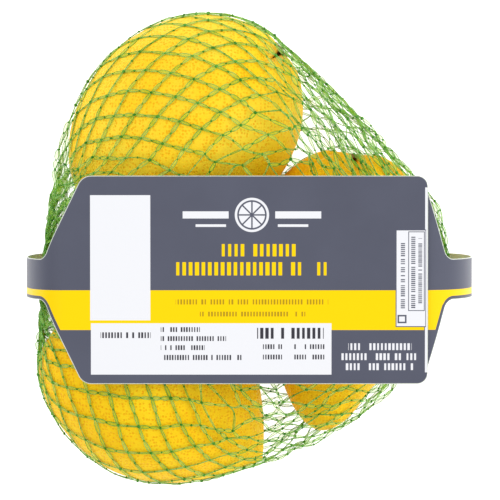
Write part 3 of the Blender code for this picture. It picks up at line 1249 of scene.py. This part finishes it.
    def build_loose_fibres(self) -> bpy.types.Object:
        """Builds the fine loops of yarn that stand off the net.

        Returns:
            The fibres' object.
        """
        inner = self.nodes[3:-3].reshape(-1, 3)
        free = self._freedom(inner)
        chance = (free + 0.05) / (free + 0.05).sum()
        chosen = inner[self.rng.choice(len(inner), self.fibre_count, p=chance)]
        normals = self._normals(chosen)
        batch = TubeBatch(sides=3)
        sweep = np.linspace(0.0, 1.0, self.FIBRE_STEPS)
        for start, out in zip(chosen, normals, strict=True):
            way = np.cross(out, self.rng.normal(0.0, 1.0, 3))
            way /= np.linalg.norm(way)
            reach = self.rng.uniform(*self.FIBRE_LENGTH) * MM
            height = self.rng.uniform(*self.FIBRE_HEIGHT) * MM
            curl = np.sin(math.pi * sweep)[:, None]
            path = start + way * (reach * sweep)[:, None] + out * height * curl
            path += np.cross(way, out) * (self.FIBRE_CURL * np.sin(2 * math.pi * sweep))[:, None]
            along = unit(np.gradient(path, axis=0))
            side = unit(np.cross(along, out))
            batch.add(path, np.full(sweep.size, self.fibre_radius), side, np.cross(along, side))
        return batch.build("net_loose_fibres")

    def build_gather(self, name: str, x: float, outward: int) -> bpy.types.Object:
        """Builds one gathered end: the cords drawn through a tight throat into a short tuft.

        Args:
            name: The object's name.
            x: Where the net's last row of knots is.
            outward: -1 at the left and 1 at the right.

        Returns:
            The gathered end's object.
        """
        batch = TubeBatch(sides=5)
        share = np.linspace(0.0, 1.0, 8)
        ring = self.nodes[0 if outward < 0 else -1]
        for start in np.vstack([ring, ring]):
            angle = math.atan2(start[2] - GATHER_Z, start[1] - GATHER_Y) + self.rng.normal(0.0, 0.10)
            throat = self.gather_radius * (1 - self.THROAT_DEPTH * np.sin(math.pi * share) ** 0.8)
            radius = throat * self.rng.uniform(0.55, 1.0)
            wave = 0.15 * MM * np.sin(9 * share + angle * 3)
            along = x + outward * self.tuft_length * share * self.rng.uniform(0.75, 1.0)
            across = GATHER_Y + (radius + wave) * math.cos(angle)
            path = np.stack([along, across, GATHER_Z + (radius + wave) * math.sin(angle)], axis=1)
            side = np.tile([0.0, -math.sin(angle), math.cos(angle)], (share.size, 1))
            rise = np.tile([0.0, math.cos(angle), math.sin(angle)], (share.size, 1))
            batch.add(path, np.full(share.size, self.gather_cord), side, rise)
        return batch.build(name)

    def build(self, effects: Effects) -> list[bpy.types.Object]:
        """Builds every piece of the net.

        Args:
            effects: The shared node groups.

        Returns:
            The pieces.
        """
        yarn, web, knot = (finish.material(effects) for finish in (self.YARN, self.WEB, self.KNOT))
        pieces = []
        middles: list[np.ndarray] = []
        for family in Family:
            batch, strips, centres = self.build_cords(family)
            middles += centres
            pieces.append((batch.build(f"net_cords_{family.value}"), yarn))
            pieces.append((self.build_web(f"net_web_{family.value}", strips), web))
        crossings = self.nodes[1:-1].reshape(-1, 3)
        for lemon in self.lemons:
            crossings = lemon.push_out(crossings, CORD_STANDOFF)
        pieces.append((self.build_knots("net_crossing_knots", crossings, self.crossing_knot), knot))
        pieces.append((self.build_knots("net_mid_knots", np.array(middles), self.mid_knot), knot))
        pieces.append((self.build_loose_fibres(), yarn))
        pieces.append((self.build_gather("net_gather_left", self.left_x, -1), yarn))
        pieces.append((self.build_gather("net_gather_right", self.right_x, 1), yarn))
        for piece, material in pieces:
            piece.data.materials.append(material)
        return [piece for piece, _ in pieces]


@dataclass
class FilmBand:
    """The printed film that runs round the pack and laps over itself at the right."""

    top_z: float
    thickness: float = 0.00040
    clearance: float = 0.0003
    panel_half: float = 0.0322
    strap_half: float = 0.0063
    centre_y: float = -0.0081
    free_end_x: float = 0.0550
    left_shoulder_x: float = -0.0518
    right_shoulder_x: float = 0.0534
    left_slant: float = 0.0126
    right_slant: float = 0.0082
    shoulder_radius: float = 0.0044
    strap_fillet: float = 0.0040
    end_corner: float = 0.0033
    left_bend_start: float = -0.0575
    left_bend: float = -0.0709
    right_bend_start: float = 0.0515
    right_bend: float = 0.0706
    lap_length: float = 0.0150
    squareness: float = 2.3
    column_step: float = 0.0008
    height_rows: int = 64

    UV_UNIT = 400.0
    LEAST_STEP = 0.00012

    def _bend(self, start_x: float, peak_x: float, top: float, bottom: float) -> np.ndarray:
        """A strap's bend from the front down to the back.

        Args:
            start_x: Where the bend starts.
            peak_x: How far out it reaches.
            top: The height that it leaves.
            bottom: The height that it reaches.

        Returns:
            Its points in X and Z.
        """
        angle = np.linspace(0.0, math.pi, 90)[1:-1]
        power = 2 / self.squareness
        rise = np.sign(np.cos(angle)) * np.abs(np.cos(angle)) ** power
        x = start_x + (peak_x - start_x) * np.sin(angle) ** power
        return np.stack([x, (top + bottom) / 2 + rise * (top - bottom) / 2], axis=1)

    def path(self) -> tuple[np.ndarray, dict[str, float]]:
        """The band's middle line in X and Z, from the free end round to the lap.

        Returns:
            The line's points, and the lengths along it where the back and the lap start.
        """
        front_z = self.top_z - self.thickness / 2
        lap_z = front_z - self.thickness - self.clearance
        back_z = self.thickness / 2
        left = self._bend(self.left_bend_start, self.left_bend, front_z, back_z)
        right = self._bend(self.right_bend_start, self.right_bend, lap_z, back_z)
        front = np.array([[self.free_end_x, front_z], [self.left_bend_start, front_z]])
        back = np.array([[self.left_bend_start, back_z], [self.right_bend_start, back_z]])
        lap = np.array([[self.right_bend_start, lap_z], [self.free_end_x - self.lap_length, lap_z]])
        points = np.vstack([front, left, back, right[::-1], lap])
        reach = reach_along(points)
        marks = {
            "back_start": reach[len(front) + len(left)],
            "back_end": reach[len(front) + len(left) + 1],
            "lap_start": reach[-2],
            "end": reach[-1],
        }
        return np.column_stack([reach, points]), marks

    @staticmethod
    def _corner(before: Vector, corner: Vector, after: Vector, radius: float) -> list[Vector]:
        """The arc of a rounded corner.

        Args:
            before: A point on the first side.
            corner: The sharp corner.
            after: A point on the second side.
            radius: The arc's radius.

        Returns:
            The arc's points.
        """
        arm_a = (before - corner).normalized()
        arm_b = (after - corner).normalized()
        half = arm_a.angle(arm_b) / 2
        middle = corner + (arm_a + arm_b).normalized() * (radius / math.sin(half))
        start = (corner + arm_a * (radius / math.tan(half)) - middle).normalized()
        end = (corner + arm_b * (radius / math.tan(half)) - middle).normalized()
        return [middle + radius * start.slerp(end, i / 12) for i in range(13)]

    def _slanted_end(self, shoulder_at: float, run: float) -> list[Vector]:
        """A panel's shoulder, slanted side and strap fillet, panel first.

        Args:
            shoulder_at: The shoulder's place along the band.
            run: The slant's length along the band, below zero where the panel lies ahead.

        Returns:
            Points of place along and half height.
        """
        shoulder = Vector((shoulder_at, self.panel_half))
        foot = Vector((shoulder_at + run, self.strap_half))
        panel_side = Vector((shoulder_at - run, self.panel_half))
        strap_side = Vector((shoulder_at + 2 * run, self.strap_half))
        corner = self._corner(panel_side, shoulder, foot, self.shoulder_radius)
        return corner + self._corner(shoulder, foot, strap_side, self.strap_fillet)

    def outline(self, marks: dict[str, float]) -> np.ndarray:
        """The flat band's half height along its length.

        Args:
            marks: The lengths where the back and the lap start.

        Returns:
            Points of place along and half height.
        """
        edge = [Vector((0, 0)), Vector((0, self.panel_half)), Vector((self.panel_half, self.panel_half))]
        points = self._corner(*edge, self.end_corner)
        left_step = self.left_shoulder_x - self.left_bend_start
        right_step = self.right_shoulder_x - self.right_bend_start
        points += self._slanted_end(self.free_end_x - self.left_shoulder_x, self.left_slant)
        points += self._slanted_end(marks["back_start"] + left_step, -self.left_slant)[::-1]
        points += self._slanted_end(marks["back_end"] + right_step, self.right_slant)
        points += self._slanted_end(marks["lap_start"] - right_step, -self.right_slant)[::-1]
        points.append(Vector((marks["end"], self.panel_half)))
        return np.array([tuple(p) for p in points])

    @staticmethod
    def _gap_to_line(places: np.ndarray, line: np.ndarray) -> np.ndarray:
        """The distance from places to a polyline in the flat band.

        Args:
            places: Points of place along and height.
            line: The polyline.

        Returns:
            The distances.
        """
        best = np.full(len(places), np.inf)
        for a, b in zip(line[:-1], line[1:], strict=True):
            run = b - a
            size = float(run @ run)
            if size == 0:
                continue
            share = np.clip((places - a) @ run / size, 0.0, 1.0)
            best = np.minimum(best, np.linalg.norm(places - a - share[:, None] * run, axis=1))
        return best

    def build(self, finish: FilmFinish, effects: Effects) -> bpy.types.Object:
        """Builds the band.

        Args:
            finish: The film's finish.
            effects: The shared node groups.

        Returns:
            The band's object.
        """
        line, marks = self.path()
        outline = self.outline(marks)
        count = math.ceil(marks["end"] / self.column_step)
        stations = np.concatenate([np.linspace(0, marks["end"], count + 1), outline[:, 0]])
        stations = np.unique(np.round(stations, 6))
        stations = stations[np.concatenate([[True], np.diff(stations) > self.LEAST_STEP])]
        stations[-1] = marks["end"]
        half = np.interp(stations, outline[:, 0], outline[:, 1])
        half[0] = self.panel_half - self.end_corner
        rows = 2 * np.linspace(0.0, 1.0, self.height_rows + 1) - 1
        rows = np.sign(rows) * (1 - (1 - np.abs(rows)) ** 1.25)
        along = np.repeat(stations, rows.size)
        height = (half[:, None] * rows[None, :]).ravel()
        x, z = (np.interp(along, line[:, 0], line[:, axis]) for axis in (1, 2))
        points = np.stack([x, self.centre_y + height, z], axis=1)
        band = mesh_object("film_band", points, grid_faces(len(stations), rows.size).tolist())
        self._mark(band.data, along, height, outline)
        for make in (finish.material, finish.inner_material, finish.edge_material):
            band.data.materials.append(make(effects))
        wall = band.modifiers.new("film", "SOLIDIFY")
        wall.thickness = self.thickness
        wall.offset = 0.0
        wall.material_offset = 1
        wall.material_offset_rim = 2
        return band

    def _mark(self, mesh: bpy.types.Mesh, along: np.ndarray, height: np.ndarray, outline: np.ndarray) -> None:
        """Stores the flat place and the gap to the rim on the band's mesh.

        Args:
            mesh: The band's mesh.
            along: Each vertex's place along the flat band.
            height: Each vertex's height on the flat band.
            outline: The band's outline.
        """
        layer = mesh.uv_layers.new(name="flat")
        index = np.empty(len(mesh.loops), dtype=np.int32)
        mesh.loops.foreach_get("vertex_index", index)
        flat = np.stack([along, height], axis=1)[index] / MM / self.UV_UNIT
        layer.data.foreach_set("uv", flat.astype(np.float32).ravel())
        start = np.array([[0.0, -0.001], [0.0, self.panel_half - self.end_corner]])
        rim_line = np.vstack([start, outline])
        gap = self._gap_to_line(np.stack([along, np.abs(height)], axis=1), rim_line)
        rim = mesh.attributes.new("rim_gap", "FLOAT", "POINT")
        rim.data.foreach_set("value", (gap / MM).astype(np.float32))


def front_print() -> tuple[PrintedField, ...]:
    """Lists the printed fields of the front panel, those below first.

    Returns:
        The fields.
    """
    plain, strokes, upright = FieldKind.SOLID, FieldKind.STROKES, FieldKind.UPRIGHT_STROKES
    white, grey, dark = Ink.WHITE, Ink.GREY, Ink.DARK
    heading_rows = ((-13.0, 14.3, 7.3, 11.1), (-23.3, 24.2, 1.4, 5.5))
    sentence_rows = ((-23.0, 24.2, -7.6, -6.0), (-15.5, 17.1, -11.3, -9.8))
    left_rows = ((-27.6, -15.5, -16.1, -14.6), (-27.6, -7.4, -18.9, -17.4))
    left_rows += ((-27.6, -14.0, -21.7, -20.2), (-27.6, -1.6, -24.8, -23.2))
    right_rows = ((4.0, 9.9, -21.4, -19.9), (13.7, 23.0, -21.4, -19.9))
    right_rows += ((4.0, 9.9, -24.6, -23.1), (13.7, 23.0, -24.6, -23.1))
    tip_rows = ((30.4, 50.0, -21.7, -19.6), (27.9, 51.8, -24.8, -22.7), (29.5, 50.6, -27.9, -25.8))
    bars = ((-20.8, -6.6, 19.0, 21.2), (7.8, 22.0, 19.0, 21.2))
    bars += ((-16.8, -7.4, 16.4, 17.2), (8.6, 18.0, 16.4, 17.2))
    panels = ((54.1, 56.0, -28.6, 28.6), (-49.4, -30.8, -12.5, 26.2), (-49.2, 25.2, -29.3, -13.4))
    side_rows = ((46.6, 47.9, -9.4, 11.4), (49.8, 51.1, -8.8, 13.5), (52.0, 53.2, -7.4, 12.9))
    groups = (
        (white, plain, 1.0, panels),
        (grey, plain, 1.0, ((45.0, 54.4, -14.6, 15.6),)),
        (white, plain, 1.0, ((45.3, 54.2, -14.3, 15.3),)),
        (grey, plain, 1.0, ((48.9, 54.0, -9.6, 15.0),)),
        (white, plain, 1.0, ((49.15, 53.75, -9.35, 14.75),)),
        (grey, upright, 0.62, side_rows),
        (grey, plain, 1.0, ((45.6, 48.4, -13.4, -10.8),)),
        (white, plain, 1.0, ((46.1, 47.9, -12.9, -11.3),)),
        (Ink.YELLOW, strokes, 1.98, heading_rows),
        (Ink.OCHRE, strokes, 0.93, sentence_rows),
        (dark, strokes, 0.93, ((-46.2, -30.7, -18.0, -16.2),)),
        (dark, strokes, 0.81, left_rows),
        (dark, strokes, 1.61, ((2.2, 22.8, -18.2, -14.8),)),
        (dark, strokes, 0.81, right_rows),
        (white, strokes, 1.18, tip_rows),
        (white, FieldKind.SLICE, 1.0, ((-4.7, 5.9, 14.8, 25.4),)),
        (white, plain, 1.0, bars),
    )
    return tuple(PrintedField(*box, ink, kind, pitch) for ink, kind, pitch, boxes in groups for box in boxes)


@dataclass
class Studio:
    """A pale floor, soft lights and the camera above the pack."""

    distance: float = 1.0
    tilt: float = 1.8
    view_width: float = 0.1604
    aim_z: float = 0.033
    sensor: float = 36.0

    def floor(self) -> bpy.types.Object:
        """Builds the pale floor.

        Returns:
            The floor's object.
        """
        half = 1.6
        corners = np.array([[-half, -half, 0.0], [half, -half, 0.0], [half, half, 0.0], [-half, half, 0.0]])
        floor = mesh_object("studio_floor", corners, [(0, 1, 2, 3)])
        sheet = NodeSheet("pale_floor")
        glow = {"Emission_Color": (1.0, 1.0, 1.0), "Emission_Strength": 0.85}
        finished = sheet.dress((0.70, 0.70, 0.70), Roughness=0.7, Specular_IOR_Level=0.1, **glow)
        floor.data.materials.append(finished)
        return floor

    def lamp(self, name: str, place: Sequence[float], size: float, power: float) -> None:
        """Adds a soft square light aimed at the pack.

        Args:
            name: The light's name.
            place: Where it stands.
            size: The length of its side.
            power: Its power in watts.
        """
        light = bpy.data.lights.new(name, "AREA")
        light.size = size
        light.energy = power
        holder = bpy.data.objects.new(name, light)
        holder.location = place
        toward = Vector((0, 0, self.aim_z)) - Vector(place)
        holder.rotation_euler = toward.to_track_quat("-Z", "Y").to_euler()
        bpy.context.scene.collection.objects.link(holder)

    def light(self) -> None:
        """Adds the lamps and the soft surroundings."""
        self.lamp("key_light", (-0.55, 0.45, 0.95), 0.9, 3.8)
        self.lamp("fill_light", (0.85, 0.0, 0.60), 1.2, 6.0)
        world = bpy.data.worlds.new("soft_surroundings")
        world.use_nodes = True
        sky = world.node_tree.nodes["Background"]
        sky.inputs["Color"].default_value = (1.0, 1.0, 1.0, 1.0)
        sky.inputs["Strength"].default_value = 0.80
        bpy.context.scene.world = world
        bpy.context.scene.view_settings.view_transform = "Standard"

    def camera(self) -> bpy.types.Object:
        """Places the camera above the pack, leaning a little from its far side.

        Returns:
            The camera's object.
        """
        data = bpy.data.cameras.new("camera")
        data.sensor_width = self.sensor
        data.lens = self.sensor * self.distance / self.view_width
        data.clip_start, data.clip_end = 0.05, 10.0
        camera = bpy.data.objects.new("camera", data)
        lean = math.radians(self.tilt)
        camera.location = (0.0, self.distance * math.sin(lean), self.aim_z + self.distance * math.cos(lean))
        camera.rotation_euler = (-lean, 0.0, 0.0)
        bpy.context.scene.collection.objects.link(camera)
        bpy.context.scene.camera = camera
        return camera


def make_lemons() -> list[Lemon]:
    """Lists the three lemons of the pack.

    Returns:
        The lemons, not yet built.
    """
    fresh = RindFinish(
        "rind_fresh",
        light=(0.930, 0.670, 0.040),
        golden=(0.930, 0.570, 0.006),
        gland=(0.860, 0.400, 0.003),
        calyx_brown_and_furrow_shade=(0.42, 0.22, 0.03),
    )
    golden = RindFinish(
        "rind_golden",
        light=(0.910, 0.630, 0.014),
        golden=(0.880, 0.530, 0.003),
        gland=(0.800, 0.360, 0.002),
        calyx_brown_and_furrow_shade=(0.46, 0.24, 0.01),
    )
    deep = RindFinish(
        "rind_deep",
        light=(0.940, 0.600, 0.010),
        golden=(0.930, 0.510, 0.002),
        gland=(0.880, 0.410, 0.001),
        calyx_brown_and_furrow_shade=(0.60, 0.28, 0.004),
    )
    upper = Lemon(
        name="upper_lemon",
        x=-0.0207,
        y=0.0394,
        heading=38,
        length=0.0812,
        diameter=0.0660,
        stem_power=1.04,
        tip_power=1.06,
        belly_shift=0.02,
        roll=-18.0,
        lobe_depth=0.0046,
        dimple_depth=0.0022,
        stem_lift=0.0006,
        finish=fresh,
    )
    lower = Lemon(
        name="lower_lemon",
        x=-0.0284,
        y=-0.0440,
        heading=144,
        length=0.0798,
        diameter=0.0634,
        stem_power=0.75,
        tip_power=1.78,
        belly_shift=0.10,
        roll=70.0,
        lobe_depth=0.0008,
        dimple_depth=0.0016,
        stem_lift=0.0,
        finish=golden,
    )
    side = Lemon(
        name="side_lemon",
        x=0.0281,
        y=-0.0127,
        heading=83,
        length=0.0912,
        diameter=0.0626,
        stem_power=0.99,
        tip_power=1.07,
        belly_shift=0.05,
        roll=60.0,
        lobe_depth=0.0046,
        dimple_depth=0.0030,
        stem_lift=0.0036,
        finish=deep,
        taper=0.36,
        lobes=6,
        lobe_reach=0.44,
    )
    return [upper, lower, side]


def report(piece: bpy.types.Object) -> None:
    """Reports a piece and how many faces it has."""
    LOG.info("%s: %d faces", piece.name, len(piece.data.polygons))


def main() -> None:
    """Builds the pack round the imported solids."""
    logging.basicConfig(level=logging.INFO, format="%(name)s %(message)s")
    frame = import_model()
    LOG.info("packed nodes: %d", len(frame["nodes"]))
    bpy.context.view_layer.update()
    effects = Effects()
    studio = Studio()
    studio.camera()
    studio.light()
    studio.floor()
    lemons = make_lemons()
    button = MottledFinish("stem_button", (0.16, 0.12, 0.02), (0.34, 0.24, 0.06), 0.7)
    contents = []
    for lemon in lemons:
        contents += [lemon.build(effects), lemon.stem_button(button, effects)]
    contents += KnittedNet(lemons).build(effects)
    for piece in contents:
        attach(piece, "root")
        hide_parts("netted_lemons")
        report(piece)
    top_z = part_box("label_band")[1][2]
    band_sizes = FilmBand(top_z)
    band = band_sizes.build(FilmFinish(front_print(), band_sizes.free_end_x / MM), effects)
    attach(band, "root")
    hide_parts("label_band")
    report(band)


if __name__ == "__main__":
    main()
